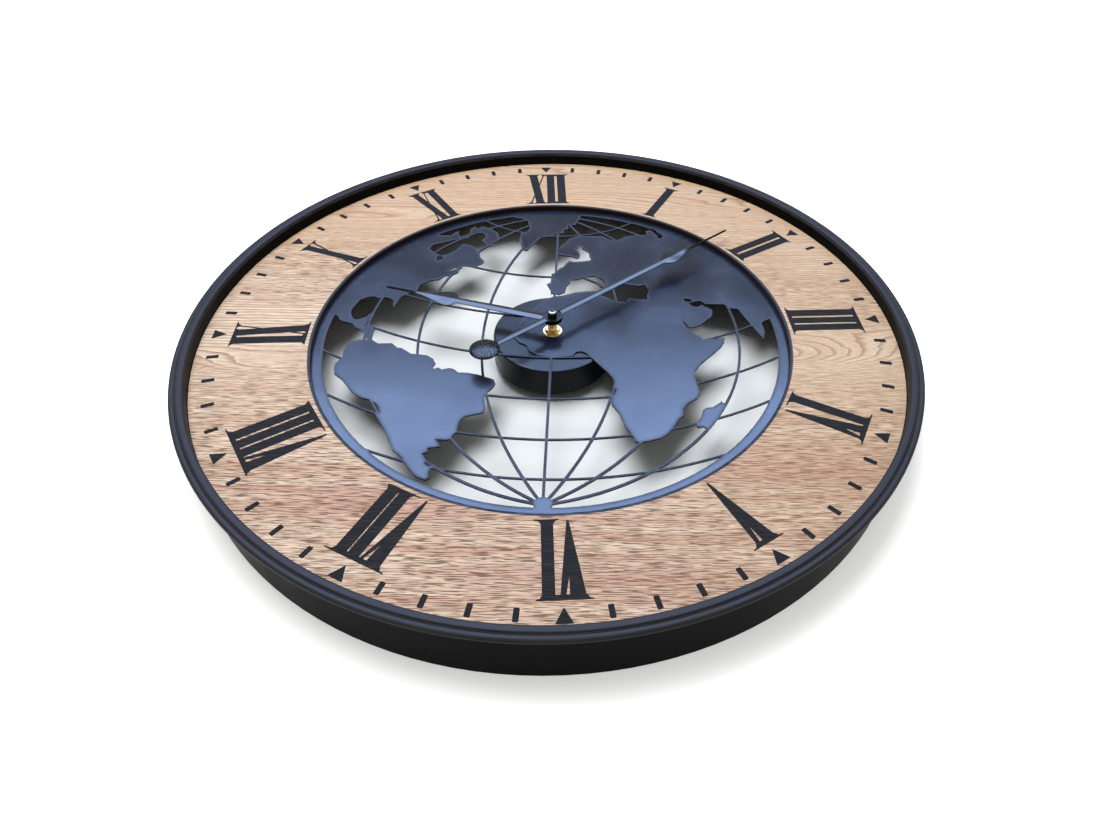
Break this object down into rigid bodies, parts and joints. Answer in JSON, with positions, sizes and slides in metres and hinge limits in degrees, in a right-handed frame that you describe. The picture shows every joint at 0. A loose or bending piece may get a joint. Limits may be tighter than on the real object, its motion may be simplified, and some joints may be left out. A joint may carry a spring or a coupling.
{
  "type": "wall clock",
  "caption": "Round wall clock with a flared steel rim, a wooden hour ring round an open-cut world map plate, and leaf-shaped hands driven by a battery movement in a cup behind the map.",
  "frame": {"origin": "centre of the back rim, in the plane on which the clock lies", "axes": "+Z out of the dial, +Y to twelve o'clock, +X to three o'clock"},
  "size_m": [0.5999, 0.6, 0.057],
  "materials": {
    "black_steel": "satin black paint",
    "map_steel": "satin blue-black paint",
    "oak_veneer": "matt lacquered oak veneer on board",
    "zinc_screws": "zinc plated",
    "black_rubber": "matt",
    "brass_fittings": "turned brass",
    "black_plastic": "fine grained",
    "gear_plastic": "natural acetal",
    "magnet": "plated magnet",
    "bright_steel": "nickel plated",
    "copper_wire": "enamelled copper wire",
    "board": "green solder mask",
    "battery_jacket": "plain printed sleeve",
    "hand_black": "satin black lacquer",
    "cap_black": "gloss black lacquer"
  },
  "bodies": {
    "case": {"side_band": "black_steel", "front_bezel": "black_steel", "dial_ring": "oak_veneer", "ring_brackets": "black_steel", "bracket_screws": "zinc_screws", "plate_screws": "zinc_screws", "keyhole_hanger": "black_steel", "map_plate": "map_steel", "movement_cup": "black_steel", "rubber_washer": "black_rubber", "brass_washer": "brass_fittings", "bush_nut": "brass_fittings", "threaded_bush": "brass_fittings", "movement_front_cover": "black_plastic", "movement_back_cover": "black_plastic", "train_plate": "gear_plastic", "stator_plate": "bright_steel", "coil_core": "bright_steel", "coil_bobbin": "gear_plastic", "coil_winding": "copper_wire", "circuit_board": "board", "quartz_crystal": "bright_steel", "battery": "battery_jacket", "positive_contact": "bright_steel", "negative_contact": "bright_steel"},
    "minute": {"minute_arbor": "brass_fittings", "centre_wheel": "gear_plastic", "minute_hand": "hand_black", "counterweight": "hand_black", "cap_nut": "cap_black"},
    "hour": {"hour_wheel": "gear_plastic", "hour_hand": "hand_black"},
    "setting": {"minute_wheel": "gear_plastic", "setting_knob": "black_plastic"},
    "third": {"third_wheel": "gear_plastic"},
    "second": {"second_wheel": "gear_plastic"},
    "transfer": {"transfer_wheel": "gear_plastic"},
    "rotor": {"rotor": "magnet"}
  },
  "joints": [
    {"name": "minute_turn", "type": "hinge", "parent": "case", "child": "minute", "pos_m": [0, 0, 0.03], "axis": [0, 0, -1], "continuous": true},
    {"name": "hour_turn", "type": "hinge", "parent": "case", "child": "hour", "pos_m": [0, 0, 0.035], "axis": [0, 0, -1], "continuous": true},
    {"name": "setting_turn", "type": "hinge", "parent": "case", "child": "setting", "pos_m": [0.0094, 0.00342, 0.025], "axis": [0, 0, -1], "continuous": true},
    {"name": "third_turn", "type": "hinge", "parent": "case", "child": "third", "pos_m": [-0.009, 0, 0.022], "axis": [0, 0, -1], "continuous": true},
    {"name": "second_turn", "type": "hinge", "parent": "case", "child": "second", "pos_m": [-0.01133, 0.00639, 0.021], "axis": [0, 0, -1], "continuous": true},
    {"name": "transfer_turn", "type": "hinge", "parent": "case", "child": "transfer", "pos_m": [-0.00842, 0.01186, 0.021], "axis": [0, 0, -1], "continuous": true},
    {"name": "rotor_turn", "type": "hinge", "parent": "case", "child": "rotor", "pos_m": [-0.00366, 0.01253, 0.02], "axis": [0, 0, -1], "continuous": true}
  ],
  "couplings": [
    {"joint": "hour_turn", "follows": "minute_turn", "ratio": 0.083333},
    {"joint": "setting_turn", "follows": "minute_turn", "ratio": -0.33333},
    {"joint": "third_turn", "follows": "minute_turn", "ratio": -8},
    {"joint": "second_turn", "follows": "minute_turn", "ratio": 60},
    {"joint": "transfer_turn", "follows": "minute_turn", "ratio": -300},
    {"joint": "rotor_turn", "follows": "minute_turn", "ratio": 1800}
  ]
}
